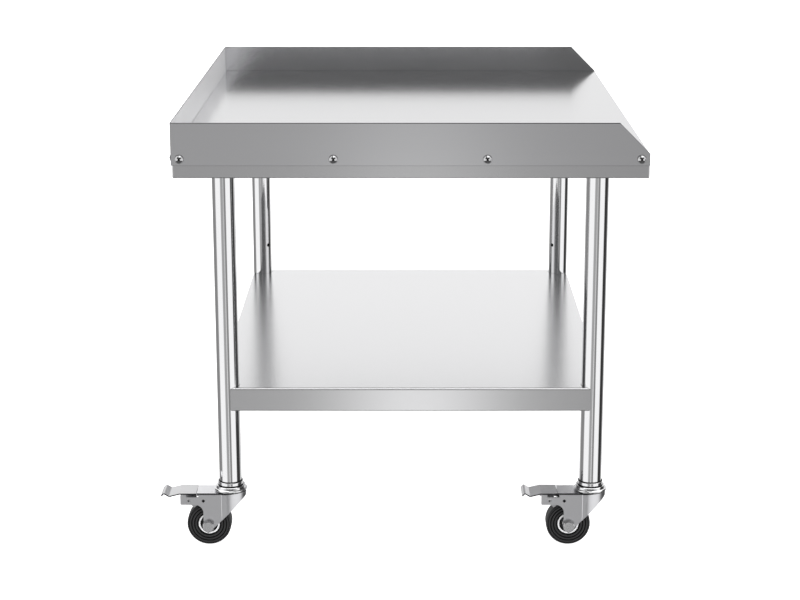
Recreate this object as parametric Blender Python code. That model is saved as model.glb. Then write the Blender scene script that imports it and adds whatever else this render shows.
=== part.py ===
"""A stainless equipment stand: a folded worktop with guards on three sides, an undershelf and
four round legs on swivel casters with foot brakes.

Metres, +Z up, the floor at z = 0. The operator stands at +X; +Y is the operator's right.
The lengths below are measured from the middle of the table. The empty table_middle moves the
whole table in X, so that the origin is under the middle of the outer box."""

import math

import bmesh
import bpy
from mathutils import Vector

MM = 0.001
GAP = 0.3 * MM  # between pieces that touch

# The table
WIDTH = 762 * MM  # back guard's outside to front skirt, along X
LENGTH = 914 * MM  # outside of one end guard to the other, along Y
WORK_HEIGHT = 690 * MM
SKIRT_DEPTH = 40 * MM
LIP = 12 * MM  # turned in under each skirt
SHEET = 1.2 * MM
BEND = 2.5 * MM  # outer radius of a folded edge
CORNER = 2 * MM

# The guards
GUARD_TOP = 739.5 * MM
GUARD_BOTTOM = 670.5 * MM
GUARD_CHAMFER = 50 * MM  # how far each end guard slopes down at the front

# The guard screws, M6 with truss heads
SCREWS_PER_GUARD = 4
SCREW_HEIGHT = 681 * MM
SCREW_FROM_CORNER = 13.5 * MM
SCREW_RADIUS = 2.9 * MM
SCREW_LENGTH = 10 * MM
SCREW_HOLE = 3.3 * MM
HEAD_RADIUS = 7.5 * MM
HEAD_HEIGHT = 3.4 * MM
NUT_RADIUS = 5 * MM
NUT_HEIGHT = 4 * MM

# The legs and what holds them
LEG_RADIUS = 19 * MM
LEG_WALL = 1.2 * MM
LEG_X = 305.8 * MM  # from the middle to a leg's axis
LEG_Y = 381.8 * MM
LEG_BOTTOM = 114 * MM
LEG_HOLE = 3.5 * MM
SHELF_STEP = 80 * MM  # between the heights that the shelf can be fixed at
SOCKET_WALL = 3 * MM
SOCKET_FLANGE = 38 * MM
SOCKET_LENGTH = 33 * MM

# The undershelf, with its corners notched round the legs
SHELF_TOP = 281.6 * MM
SHELF_HALF_X = LEG_X + LEG_RADIUS
SHELF_HALF_Y = LEG_Y + LEG_RADIUS
NOTCH_RADIUS = LEG_RADIUS + 2 * GAP

# Hat channels that stiffen the two sheets
CHANNEL_SHEET = 1.5 * MM
TOP_CHANNEL_X = 130 * MM
CHANNEL_CROWN = 25 * MM  # half its width
CHANNEL_FLANGE = 16 * MM
CHANNEL_DEPTH = 24 * MM
SHELF_CHANNEL_DEPTH = 20 * MM

# A caster, measured from its leg's axis, with the wheel trailing towards -X before any turn
WHEEL_RADIUS = 37.5 * MM
WHEEL_HALF_WIDTH = 14 * MM
TRAIL = 37 * MM
RIM_RADIUS = 18 * MM
BOLT_RADIUS = 6 * MM
BOLT_HEAD = 10.4 * MM  # to a corner of its hexagon
BOLT_HEAD_HEIGHT = 7.7 * MM
FORK_SHEET = 2.5 * MM
FORK_TOP = 95.2 * MM
FORK_HALF_WIDTH = 21.75 * MM
FRONT_CENTRE_X = -8 * MM  # middle of the half ellipse that the fork's front follows
FRONT_LENGTH = 34.5 * MM
FRONT_HALF_WIDTH = 22.3 * MM
LOBE_RADIUS = 9.6 * MM  # round the axle, and tangent to the rear edge
FORK_NECK_X = -45.5 * MM
FORK_FILLET = 14 * MM
FORK_CUT = 60.9 * MM  # height of the 45 degree rear edge above the leg's axis
EAR_END_X = -84 * MM
EAR_TOP = 93 * MM
EAR_BOTTOM = 75 * MM
EAR_STEP_X = -74 * MM  # the ears are lower from here to the top plate, so that the pedal can rock
EAR_STEP_Z = 88.5 * MM
EAR_STEP_END_X = -53.3 * MM
TOP_PLATE_EDGE_X = -56.3 * MM  # the plate's end leans, as the path of the pedal's rear edge does
TOP_PLATE_END_X = -54.6 * MM
CUP_RADIUS = 28 * MM
CUP_TOP_RADIUS = 24.8 * MM
CUP_TOP = 105.5 * MM
COLLAR_RADIUS = 21.2 * MM
STEM_RADIUS = 6 * MM
STEM_HEAD = 11 * MM
INSERT_RADIUS = 17.3 * MM
INSERT_TOP = 150 * MM

# The brake pedal, a bent strip on a pin between the fork's ears
PIN_X = -70 * MM
PIN_Z = 82.6 * MM
PIN_RADIUS = 3 * MM
PIN_HALF_LENGTH = 22.6 * MM
PEDAL_SHEET = 2 * MM
PEDAL_HALF_WIDTH = 21.5 * MM
PEDAL_TOP = 95.3 * MM
PEDAL_BACK_X = -57 * MM
PEDAL_BEND_X = -85 * MM
PEDAL_VALLEY = Vector((-102.8 * MM, 90.8 * MM))
PEDAL_CREST = Vector((-112 * MM, 96.5 * MM))
PEDAL_TIP = Vector((-117 * MM, 91.2 * MM))
CAM_RADIUS = 8 * MM
CAM_REACH = 17.6 * MM  # from the pin to the nose that stops the tyre
CAM_HALF_WIDTH = 12 * MM

ROUND = 16  # flats round a leg and what fits it
FINE = 24  # round a tyre, so that one flat lies on the floor
COARSE = 12  # round a bolt
SMALL = 8  # round a screw or a pin

ORIGIN_X = (LEG_X - PEDAL_TIP.x - WIDTH / 2) / 2  # the pedals reach out past the back guard
CORNERS = {
    "front_left": (1, -1),
    "front_right": (1, 1),
    "back_left": (-1, -1),
    "back_right": (-1, 1),
}
REST_TURNS = {"back_right": 180}  # the casters that don't trail towards -X, in degrees


# Materials


def material(name, colour, roughness, metallic):
    made = bpy.data.materials.new(name)
    made.use_nodes = True
    shader = made.node_tree.nodes["Principled BSDF"]
    shader.inputs["Base Color"].default_value = (*colour, 1)
    shader.inputs["Roughness"].default_value = roughness
    shader.inputs["Metallic"].default_value = metallic
    made.diffuse_color = (*colour, 1)
    return made


def make_materials():
    return {
        "worktop_steel": material("worktop_steel", (0.72, 0.72, 0.73), 0.28, 1),
        "guard_steel": material("guard_steel", (0.60, 0.60, 0.61), 0.32, 1),
        "shelf_steel": material("shelf_steel", (0.70, 0.70, 0.71), 0.28, 1),
        "channel_steel": material("channel_steel", (0.55, 0.56, 0.57), 0.45, 1),
        "leg_steel": material("leg_steel", (0.75, 0.75, 0.76), 0.12, 1),
        "socket_steel": material("socket_steel", (0.55, 0.56, 0.57), 0.40, 1),
        "screw_steel": material("screw_steel", (0.68, 0.68, 0.69), 0.25, 1),
        "caster_chrome": material("caster_chrome", (0.80, 0.80, 0.81), 0.10, 1),
        "fork_zinc": material("fork_zinc", (0.66, 0.67, 0.68), 0.35, 1),
        "pedal_zinc": material("pedal_zinc", (0.74, 0.74, 0.75), 0.30, 1),
        "tyre_rubber": material("tyre_rubber", (0.02, 0.02, 0.022), 0.65, 0),
        "hub_plastic": material("hub_plastic", (0.62, 0.62, 0.63), 0.40, 0),
        "axle_zinc": material("axle_zinc", (0.70, 0.70, 0.71), 0.25, 1),
    }


# Shapes


def loft(loops, closed=False):
    """A mesh through loops of equal length, capped at both ends unless it is closed on itself."""
    shape = bmesh.new()
    rings = [[shape.verts.new(point) for point in loop] for loop in loops]
    pairs = list(zip(rings, rings[1:]))
    if closed:
        pairs.append((rings[-1], rings[0]))
    for low, high in pairs:
        for i in range(len(low)):
            j = (i + 1) % len(low)
            shape.faces.new((low[i], low[j], high[j], high[i]))
    if not closed:
        shape.faces.new(reversed(rings[0]))
        shape.faces.new(rings[-1])
    bmesh.ops.recalc_face_normals(shape, faces=shape.faces)
    mesh = bpy.data.meshes.new("loft")
    shape.to_mesh(mesh)
    shape.free()
    return mesh


def ring(radius, z, segments):
    """A loop about the Z axis, with a flat square to each of X and Y."""
    step = 2 * math.pi / segments
    turns = [(i + 0.5) * step for i in range(segments)]
    return [(radius * math.cos(a), radius * math.sin(a), z) for a in turns]


def turned(profile, segments=ROUND, closed=False):
    """A turned piece from (radius, z) pairs."""
    return loft([ring(radius, z, segments) for radius, z in profile], closed)


def arc(centre, radius, start, end, steps):
    """Points round centre from start to end, in degrees."""
    turns = [math.radians(start + (end - start) * i / steps) for i in range(steps + 1)]
    return [Vector((centre[0] + radius * math.cos(a), centre[1] + radius * math.sin(a))) for a in turns]


def prism(outline, axis, low, high):
    """An outline pushed along an axis: (x, y) points for Z, (x, z) for Y and (y, z) for X."""
    place = {
        "X": lambda p, along: (along, p[0], p[1]),
        "Y": lambda p, along: (p[0], along, p[1]),
        "Z": lambda p, along: (p[0], p[1], along),
    }[axis]
    return loft([[place(p, along) for p in outline] for along in (low, high)])


def box(low, high):
    outline = [(low[0], low[1]), (high[0], low[1]), (high[0], high[1]), (low[0], high[1])]
    return prism(outline, "Z", low[2], high[2])


def bent_strip(line, thickness):
    """The outline of a bent sheet whose one face follows line, with mitred bends."""
    steps = [(b - a).normalized() for a, b in zip(line, line[1:])]
    normals = [Vector((-step.y, step.x)) for step in steps]
    ends = zip([normals[0], *normals], [*normals, normals[-1]])
    back = []
    for point, (before, after) in zip(line, ends):
        mean = (before + after).normalized()
        back.append(point + mean * thickness / mean.dot(before))
    return [*line, *reversed(back)]


def joined(meshes):
    """Several closed meshes as one, to cut or to join with."""
    shape = bmesh.new()
    for mesh in meshes:
        shape.from_mesh(mesh)
    whole = bpy.data.meshes.new("joined")
    shape.to_mesh(whole)
    shape.free()
    return whole


def boolean(mesh, steps):
    """The mesh after each (operation, tool mesh) in steps."""
    scene = bpy.context.scene.collection
    blank = bpy.data.objects.new("blank", mesh)
    scene.objects.link(blank)
    tools = []
    for operation, tool_mesh in steps:
        tool = bpy.data.objects.new("tool", tool_mesh)
        scene.objects.link(tool)
        tools.append(tool)
        modifier = blank.modifiers.new(operation.lower(), "BOOLEAN")
        modifier.operation = operation
        modifier.solver = "EXACT"
        modifier.object = tool
    graph = bpy.context.evaluated_depsgraph_get()
    made = bpy.data.meshes.new_from_object(blank.evaluated_get(graph))
    for helper in [blank, *tools]:
        bpy.data.objects.remove(helper)
    return made


def pin_cutter(centre, axis, radius, low, high, segments=COARSE):
    """A round cutter along an axis through centre, from low to high on that axis."""
    outline = [(centre[0] + x, centre[1] + y) for x, y, _ in ring(radius, 0, segments)]
    return prism(outline, axis, low, high)


# Placing


def empty(name, parent, place, turn=0):
    made = bpy.data.objects.new(name, None)
    bpy.context.scene.collection.objects.link(made)
    made.parent = parent
    made.location = place
    made.rotation_euler.z = math.radians(turn)
    return made


def piece(name, mesh, finish, parent, place=(0, 0, 0), turn=(0, 0, 0)):
    mesh.shade_smooth()
    mesh.set_sharp_from_angle(angle=math.radians(32))
    made = bpy.data.objects.new(name, mesh)
    bpy.context.scene.collection.objects.link(made)
    made.parent = parent
    made.location = place
    made.rotation_euler = [math.radians(a) for a in turn]
    if not mesh.materials:
        mesh.materials.append(finish)
    return made


# Sheets


def rounded_rectangle(half_x, half_y, radius, steps=2):
    points = []
    for quarter, (side_x, side_y) in enumerate(((1, 1), (-1, 1), (-1, -1), (1, -1))):
        centre = (side_x * (half_x - radius), side_y * (half_y - radius))
        points += arc(centre, radius, 90 * quarter, 90 * (quarter + 1), steps)
    return points


def pan(half_x, half_y):
    """A folded sheet with its top at z = 0: skirts down on four sides, each with a lip turned in."""
    levels = []
    for angle in (90, 60, 30, 0):
        turn = math.radians(angle)
        levels.append((BEND * (1 - math.cos(turn)), -BEND * (1 - math.sin(turn))))
    levels += [
        (0, -SKIRT_DEPTH),
        (LIP, -SKIRT_DEPTH),
        (LIP, SHEET - SKIRT_DEPTH),
        (SHEET, SHEET - SKIRT_DEPTH),
        (SHEET, -SHEET),
    ]
    loops = []
    for inset, z in levels:
        radius = max(CORNER - inset, 0.2 * MM)
        outline = rounded_rectangle(half_x - inset, half_y - inset, radius)
        loops.append([(point.x, point.y, z) for point in outline])
    return loft(loops)


def spread(half_span, count):
    """Places spaced evenly from -half_span to half_span."""
    return [half_span * (2 * i / (count - 1) - 1) for i in range(count)]


def guard_screw_places():
    """(guard, along the guard) for each guard screw."""
    end_places = spread(WIDTH / 2 - SCREW_FROM_CORNER, SCREWS_PER_GUARD)
    back_places = spread(LENGTH / 2 - 15.5 * MM, SCREWS_PER_GUARD)
    places = [("back", along) for along in back_places]
    for end in ("left", "right"):
        places += [(end, along) for along in end_places]
    return places


def guard_holes(guards):
    """Cutters for the screw holes of the guards named, each through guard and skirt."""
    reach = 10 * MM
    cutters = []
    for guard, along in guard_screw_places():
        if guard not in guards:
            continue
        axis = "X" if guard == "back" else "Y"
        side = 1 if guard == "right" else -1
        face = side * (WIDTH if guard == "back" else LENGTH) / 2
        centre = (along, SCREW_HEIGHT)
        cutters.append(pin_cutter(centre, axis, SCREW_HOLE, face - reach, face + reach, SMALL))
    return joined(cutters)


def make_worktop(table, finishes):
    """The top sheet, just inside the guards at the back and the ends, and flush at the front."""
    inside = SHEET + GAP
    middle_x = inside / 2
    mesh = pan((WIDTH - inside) / 2, LENGTH / 2 - inside)
    for vertex in mesh.vertices:
        vertex.co += Vector((middle_x, 0, WORK_HEIGHT))
    mesh = boolean(mesh, [("DIFFERENCE", guard_holes(("back", "left", "right")))])
    piece("worktop", mesh, finishes["worktop_steel"], table)


def make_guards(table, finishes):
    """Three upright sheets, screwed to the outside of the worktop's skirts."""
    outer_x = WIDTH / 2
    outer_y = LENGTH / 2
    end_outline = [
        (-outer_x, GUARD_BOTTOM),
        (outer_x, GUARD_BOTTOM),
        (outer_x, GUARD_TOP - GUARD_CHAMFER + GAP),
        (outer_x - GUARD_CHAMFER, GUARD_TOP),
        (-outer_x, GUARD_TOP),
    ]
    for name, side in (("left", -1), ("right", 1)):
        inner = side * (outer_y - SHEET)
        mesh = prism(end_outline, "Y", min(inner, side * outer_y), max(inner, side * outer_y))
        mesh = boolean(mesh, [("DIFFERENCE", guard_holes((name,)))])
        piece(f"{name}_guard", mesh, finishes["guard_steel"], table)
    half = outer_y - SHEET - GAP
    mesh = box((-outer_x, -half, GUARD_BOTTOM), (-outer_x + SHEET, half, GUARD_TOP))
    mesh = boolean(mesh, [("DIFFERENCE", guard_holes(("back",)))])
    piece("back_guard", mesh, finishes["guard_steel"], table)


def make_guard_screws(table, finishes):
    """Each screw is turned about Z with its head up, then laid on its guard."""
    nut_face = -(2 * SHEET + 3 * GAP)
    profile = [
        (SCREW_RADIUS, -SCREW_LENGTH),
        (SCREW_RADIUS, nut_face - NUT_HEIGHT),
        (NUT_RADIUS, nut_face - NUT_HEIGHT),
        (NUT_RADIUS, nut_face),
        (SCREW_RADIUS, nut_face),
        (SCREW_RADIUS, 0),
        (HEAD_RADIUS, 0),
        (0.82 * HEAD_RADIUS, 0.57 * HEAD_HEIGHT),
        (0.42 * HEAD_RADIUS, HEAD_HEIGHT),
    ]
    mesh = turned(profile, SMALL)
    outward = {"back": (0, -90, 0), "left": (90, 0, 0), "right": (-90, 0, 0)}
    for number, (guard, along) in enumerate(guard_screw_places()):
        if guard == "back":
            place = (-WIDTH / 2 - GAP, along, SCREW_HEIGHT)
        else:
            side = 1 if guard == "right" else -1
            place = (along, side * (LENGTH / 2 + GAP), SCREW_HEIGHT)
        name = f"{guard}_guard_screw_{number % SCREWS_PER_GUARD + 1}"
        piece(name, mesh, finishes["screw_steel"], table, place, outward[guard])


def hat_channel(depth, low, high):
    """A hat section along Y, hanging from z = 0 by its two flanges."""
    side = [
        Vector((CHANNEL_CROWN + CHANNEL_FLANGE, 0)),
        Vector((CHANNEL_CROWN, 0)),
        Vector((CHANNEL_CROWN, CHANNEL_SHEET - depth)),
    ]
    other = [Vector((-point.x, point.y)) for point in reversed(side)]
    return prism(bent_strip([*side, *other], CHANNEL_SHEET), "Y", low, high)


def make_channels(table, finishes):
    """Two hat channels under the worktop and one under the shelf, all along Y."""
    reach = LENGTH / 2 - LIP - 5 * MM
    mesh = hat_channel(CHANNEL_DEPTH, -reach, reach)
    hang = WORK_HEIGHT - SHEET - GAP - CHANNEL_SHEET
    piece("back_top_channel", mesh, finishes["channel_steel"], table, (-TOP_CHANNEL_X, 0, hang))
    piece("front_top_channel", mesh, finishes["channel_steel"], table, (TOP_CHANNEL_X, 0, hang))
    reach = SHELF_HALF_Y - LIP - 5 * MM
    mesh = hat_channel(SHELF_CHANNEL_DEPTH, -reach, reach)
    hang = SHELF_TOP - SHEET - GAP - CHANNEL_SHEET
    piece("shelf_channel", mesh, finishes["channel_steel"], table, (0, 0, hang))


def notch_prisms(outline, low, high):
    """One prism round each leg, from an outline about the axis of the leg at +X +Y."""
    prisms = []
    for side_x, side_y in CORNERS.values():
        places = [(side_x * (LEG_X + point[0]), side_y * (LEG_Y + point[1])) for point in outline]
        prisms.append(prism(places, "Z", low, high))
    return joined(prisms)


def make_undershelf(table, finishes):
    """A pan whose corners are cut away round the legs, with a curved wall in each notch."""
    wall_side = LEG_RADIUS - SHEET / 2
    wall_radius = NOTCH_RADIUS + SHEET
    wall_start = -math.degrees(math.acos(wall_side / wall_radius))
    wall = arc((0, 0), wall_radius, wall_start, -270 - wall_start, 14)
    cut_start = -math.degrees(math.acos(LEG_RADIUS / NOTCH_RADIUS))
    cut = arc((0, 0), NOTCH_RADIUS, cut_start, -270 - cut_start, 16)
    clear = 2 * LEG_RADIUS
    cut += [Vector((cut[-1].x, clear)), Vector((clear, clear)), Vector((clear, cut[0].y))]
    low, high = -SKIRT_DEPTH, -SHEET / 2
    mesh = boolean(
        pan(SHELF_HALF_X, SHELF_HALF_Y),
        [
            ("UNION", notch_prisms(wall, low + SHEET / 2, high)),
            ("DIFFERENCE", notch_prisms(cut, low - LIP, high + LIP)),
        ],
    )
    piece("undershelf", mesh, finishes["shelf_steel"], table, (0, 0, SHELF_TOP))


# Legs


def make_legs(table, finishes):
    """Four tubes up into sockets, each with three holes towards the middle of the table."""
    socket_top = WORK_HEIGHT - SHEET - GAP
    flange = 2.5 * MM
    leg_top = socket_top - flange - GAP
    bore = LEG_RADIUS - LEG_WALL
    tube = [
        (LEG_RADIUS, LEG_BOTTOM),
        (LEG_RADIUS, leg_top),
        (bore, leg_top),
        (bore, LEG_BOTTOM),
    ]
    socket_bore = LEG_RADIUS + 1.5 * GAP
    socket = [
        (socket_bore, socket_top - flange),
        (socket_bore, socket_top - SOCKET_LENGTH),
        (socket_bore + SOCKET_WALL, socket_top - SOCKET_LENGTH),
        (socket_bore + SOCKET_WALL, socket_top - flange),
        (SOCKET_FLANGE, socket_top - flange),
        (SOCKET_FLANGE, socket_top),
    ]
    socket_mesh = turned(socket)
    shelf_hole = SHELF_TOP - SKIRT_DEPTH / 2
    for corner, (side_x, side_y) in CORNERS.items():
        inward = Vector((-side_x, -side_y, 0)).normalized()
        across = Vector((inward.y, -inward.x, 0))
        cutters = []
        for step in (-1, 0, 1):
            height = shelf_hole + step * SHELF_STEP
            rim = [across * x + Vector((0, 0, height + y)) for x, y, _ in ring(LEG_HOLE, 0, SMALL)]
            ends = (inward * bore / 2, inward * 2 * LEG_RADIUS)
            cutters.append(loft([[end + point for point in rim] for end in ends]))
        mesh = boolean(turned(tube, closed=True), [("DIFFERENCE", joined(cutters))])
        place = (side_x * LEG_X, side_y * LEG_Y, 0)
        piece(f"{corner}_leg", mesh, finishes["leg_steel"], table, place)
        piece(f"{corner}_leg_socket", socket_mesh, finishes["socket_steel"], table, place)


# Casters


def stem_mesh():
    """The stem: a riveted head under the fork, a shaft, a collar and the insert up the leg."""
    head_top = FORK_TOP - FORK_SHEET - GAP
    return turned(
        [
            (STEM_HEAD - 2 * MM, head_top - 4 * MM),
            (STEM_HEAD, head_top - 3 * MM),
            (STEM_HEAD, head_top),
            (STEM_RADIUS, head_top),
            (STEM_RADIUS, CUP_TOP + GAP),
            (COLLAR_RADIUS, CUP_TOP + GAP),
            (COLLAR_RADIUS, LEG_BOTTOM - GAP),
            (INSERT_RADIUS, LEG_BOTTOM - GAP),
            (INSERT_RADIUS, INSERT_TOP),
        ]
    )


def cup_mesh():
    """The swivel bearing's cup, between the fork and the collar."""
    bore = STEM_RADIUS + GAP
    low = FORK_TOP + GAP
    profile = [
        (bore, low),
        (CUP_RADIUS, low),
        (CUP_RADIUS, low + 3 * MM),
        (CUP_TOP_RADIUS, CUP_TOP),
        (bore, CUP_TOP),
    ]
    return turned(profile, closed=True)


def fork_side():
    """The fork's side in (x, z): ears, neck, the lobe round the axle and a rear edge at 45 degrees,
    which meets the lobe at its tangent."""
    axle = (-TRAIL, WHEEL_RADIUS)
    front = FRONT_CENTRE_X + FRONT_LENGTH + 2 * MM
    neck_angle = math.degrees(math.acos((FORK_NECK_X + TRAIL) / LOBE_RADIUS))
    fillet_centre = (FORK_NECK_X - FORK_FILLET, EAR_BOTTOM - FORK_FILLET)
    return [
        Vector((front, FORK_TOP)),
        Vector((TOP_PLATE_EDGE_X, FORK_TOP)),
        Vector((TOP_PLATE_END_X, FORK_TOP - FORK_SHEET)),
        Vector((EAR_STEP_END_X, FORK_TOP - FORK_SHEET)),
        Vector((EAR_STEP_END_X, EAR_STEP_Z)),
        Vector((EAR_STEP_X, EAR_STEP_Z)),
        Vector((EAR_STEP_X, EAR_TOP)),
        Vector((EAR_END_X + CORNER, EAR_TOP)),
        Vector((EAR_END_X, EAR_TOP - CORNER)),
        Vector((EAR_END_X, EAR_BOTTOM + CORNER)),
        Vector((EAR_END_X + CORNER, EAR_BOTTOM)),
        *arc(fillet_centre, FORK_FILLET, 90, 0, 4),
        *arc(axle, LOBE_RADIUS, neck_angle, 315, 9),
        Vector((front, FORK_CUT + front)),
    ]


def fork_plan(wall):
    """The fork from above, moved in by wall: two straight sides and a front that is half an
    ellipse, a little wider than the sides where it meets them."""
    half_width = FORK_HALF_WIDTH - wall
    length, breadth = FRONT_LENGTH - wall, FRONT_HALF_WIDTH - wall
    start = math.degrees(math.asin(half_width / breadth))
    rear = EAR_END_X - CORNER if wall else EAR_END_X
    unit = arc((0, 0), 1, start - 180, 180 - start, 16)
    front = [Vector((FRONT_CENTRE_X + length * p.x, breadth * p.y)) for p in unit]
    return [*front, Vector((rear, half_width)), Vector((rear, -half_width))]


def fork_mesh():
    """One folded plate: the rounded front and sides, hollow from below and open between the ears."""
    low = -CORNER
    inner_half_width = FORK_HALF_WIDTH - FORK_SHEET
    reach = 2 * FORK_HALF_WIDTH
    axle_hole = pin_cutter((-TRAIL, WHEEL_RADIUS), "Y", BOLT_RADIUS + GAP, -reach, reach)
    pin_hole = pin_cutter((PIN_X, PIN_Z), "Y", PIN_RADIUS + GAP, -reach, reach, SMALL)
    ear_opening = box(
        (2 * EAR_END_X, -inner_half_width, PIN_Z),
        (EAR_STEP_X + CORNER, inner_half_width, 2 * FORK_TOP),
    )
    stem_hole = pin_cutter((0, 0), "Z", STEM_RADIUS + 2 * GAP, PIN_Z, 2 * FORK_TOP)
    return boolean(
        prism(fork_plan(0), "Z", low, 2 * FORK_TOP),
        [
            ("INTERSECT", prism(fork_side(), "Y", -reach, reach)),
            ("DIFFERENCE", prism(fork_plan(FORK_SHEET), "Z", 2 * low, FORK_TOP - FORK_SHEET)),
            ("DIFFERENCE", ear_opening),
            ("DIFFERENCE", stem_hole),
            ("DIFFERENCE", joined([axle_hole, pin_hole])),
        ],
    )


def mirrored_profile(half):
    """A profile about z = 0 from its upper half."""
    return [*half, *[(radius, -z) for radius, z in reversed(half)]]


def tyre_mesh():
    """The tyre: a flat tread, round shoulders and sides that hollow in to the rim."""
    to_vertex = 1 / math.cos(math.pi / FINE)  # so that the flats are at the true radius
    half = [
        (RIM_RADIUS + GAP, WHEEL_HALF_WIDTH - 2.5 * MM),
        (0.8 * WHEEL_RADIUS, WHEEL_HALF_WIDTH),
        (WHEEL_RADIUS - 2.2 * MM, WHEEL_HALF_WIDTH - 0.8 * MM),
        (WHEEL_RADIUS, WHEEL_HALF_WIDTH - 4 * MM),
    ]
    profile = [(radius * to_vertex, z) for radius, z in mirrored_profile(half)]
    return turned(profile, FINE, closed=True)


def hub_mesh():
    """The hub: a rim for the tyre, a web and a boss out to each side of the fork."""
    boss = FORK_HALF_WIDTH - FORK_SHEET - GAP
    rim = WHEEL_HALF_WIDTH - 3 * MM
    web = rim - 5 * MM
    boss_radius = BOLT_RADIUS + 3.5 * MM
    rim_inside = RIM_RADIUS - 2.5 * MM
    half = [
        (BOLT_RADIUS + GAP, boss),
        (boss_radius, boss),
        (boss_radius, web),
        (rim_inside, web),
        (rim_inside, rim),
        (RIM_RADIUS, rim),
    ]
    return turned(mirrored_profile(half), 16, closed=True)


def axle_bolt_mesh():
    """The axle bolt across both sides of the fork, with its hexagon head and nut a corner up."""
    face = FORK_HALF_WIDTH + GAP
    end = face + BOLT_HEAD_HEIGHT
    chamfer = 1.2 * MM
    heads = []
    for side in (-1, 1):
        profile = [
            (BOLT_HEAD, side * face),
            (BOLT_HEAD, side * (end - chamfer)),
            (BOLT_HEAD - chamfer, side * end),
        ]
        heads.append(turned(profile, 6))
    inside = face + BOLT_HEAD_HEIGHT / 2
    shaft = turned([(BOLT_RADIUS, -inside), (BOLT_RADIUS, inside)], COARSE)
    return boolean(shaft, [("UNION", joined(heads))])


def pedal_mesh():
    """The pedal about its pin: a bent tread plate with a cam below it, whose nose meets the tyre."""
    pin = Vector((PIN_X, PIN_Z))
    line = [
        Vector((PEDAL_BACK_X, PEDAL_TOP)),
        Vector((PEDAL_BEND_X, PEDAL_TOP)),
        PEDAL_VALLEY,
        PEDAL_CREST,
        PEDAL_TIP,
    ]
    plate = [point - pin for point in bent_strip(line, PEDAL_SHEET)]
    nose = (Vector((-TRAIL, WHEEL_RADIUS)) - pin).normalized() * CAM_REACH
    nose_side = Vector((nose.y, -nose.x)).normalized() * 3 * MM
    web_top = PEDAL_TOP - PEDAL_SHEET / 2 - PIN_Z
    cam = [
        Vector((CAM_RADIUS, web_top)),
        Vector((-CAM_RADIUS, web_top)),
        *arc((0, 0), CAM_RADIUS, 180, 262, 4),
        nose + nose_side,
        nose - nose_side,
        Vector((CAM_RADIUS, 0)),
    ]
    hole = pin_cutter((0, 0), "Y", PIN_RADIUS + GAP, -PIN_HALF_LENGTH, PIN_HALF_LENGTH, SMALL)
    return boolean(
        prism(plate, "Y", -PEDAL_HALF_WIDTH, PEDAL_HALF_WIDTH),
        [
            ("UNION", prism(cam, "Y", -CAM_HALF_WIDTH, CAM_HALF_WIDTH)),
            ("DIFFERENCE", hole),
        ],
    )


def make_casters(table, finishes):
    stem, cup, fork = stem_mesh(), cup_mesh(), fork_mesh()
    tyre, hub, bolt = tyre_mesh(), hub_mesh(), axle_bolt_mesh()
    pedal = pedal_mesh()
    pin = turned([(PIN_RADIUS, -PIN_HALF_LENGTH), (PIN_RADIUS, PIN_HALF_LENGTH)], SMALL)
    across = (-90, 0, 0)
    for corner, (side_x, side_y) in CORNERS.items():
        place = (side_x * LEG_X, side_y * LEG_Y, 0)
        piece(f"{corner}_caster_stem", stem, finishes["caster_chrome"], table, place)
        piece(f"{corner}_bearing_cup", cup, finishes["caster_chrome"], table, place)
        swivel = empty(f"{corner}_swivel", table, place, REST_TURNS.get(corner, 0))
        piece(f"{corner}_fork", fork, finishes["fork_zinc"], swivel)
        axle = empty(f"{corner}_axle", swivel, (-TRAIL, 0, WHEEL_RADIUS))
        piece(f"{corner}_tyre", tyre, finishes["tyre_rubber"], axle, turn=across)
        piece(f"{corner}_hub", hub, finishes["hub_plastic"], axle, turn=across)
        piece(f"{corner}_axle_bolt", bolt, finishes["axle_zinc"], axle, turn=across)
        hinge = empty(f"{corner}_brake", swivel, (PIN_X, 0, PIN_Z))
        piece(f"{corner}_brake_pedal", pedal, finishes["pedal_zinc"], hinge)
        piece(f"{corner}_brake_pin", pin, finishes["axle_zinc"], hinge, turn=across)


def main():
    for old in list(bpy.data.objects):
        bpy.data.objects.remove(old)
    finishes = make_materials()
    table = empty("table_middle", None, (ORIGIN_X, 0, 0))
    make_worktop(table, finishes)
    make_guards(table, finishes)
    make_guard_screws(table, finishes)
    make_channels(table, finishes)
    make_undershelf(table, finishes)
    make_legs(table, finishes)
    make_casters(table, finishes)


main()
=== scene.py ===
import math

import bmesh
import bpy
from mathutils import Matrix, Vector


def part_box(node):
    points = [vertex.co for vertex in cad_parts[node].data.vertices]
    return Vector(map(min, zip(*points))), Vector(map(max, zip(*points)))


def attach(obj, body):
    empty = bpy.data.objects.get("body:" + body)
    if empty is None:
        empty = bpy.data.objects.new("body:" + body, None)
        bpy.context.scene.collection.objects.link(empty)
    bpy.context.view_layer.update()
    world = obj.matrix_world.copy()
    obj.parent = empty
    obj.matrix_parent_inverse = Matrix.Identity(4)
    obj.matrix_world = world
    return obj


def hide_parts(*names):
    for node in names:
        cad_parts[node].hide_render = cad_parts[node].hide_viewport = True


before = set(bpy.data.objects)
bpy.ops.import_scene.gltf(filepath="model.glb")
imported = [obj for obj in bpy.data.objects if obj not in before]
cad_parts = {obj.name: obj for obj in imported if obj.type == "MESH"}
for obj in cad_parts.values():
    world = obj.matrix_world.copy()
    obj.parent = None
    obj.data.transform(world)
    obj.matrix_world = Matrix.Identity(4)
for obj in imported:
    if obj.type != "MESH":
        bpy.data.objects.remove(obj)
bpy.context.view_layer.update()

# The looks of a stainless equipment stand: folded worktop, guards, undershelf, polished legs
# and swivel casters with foot brakes. Metres, +Z up. The camera looks along +Y.

MM = 0.001
GAP = 0.3 * MM  # between pieces that touch

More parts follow.
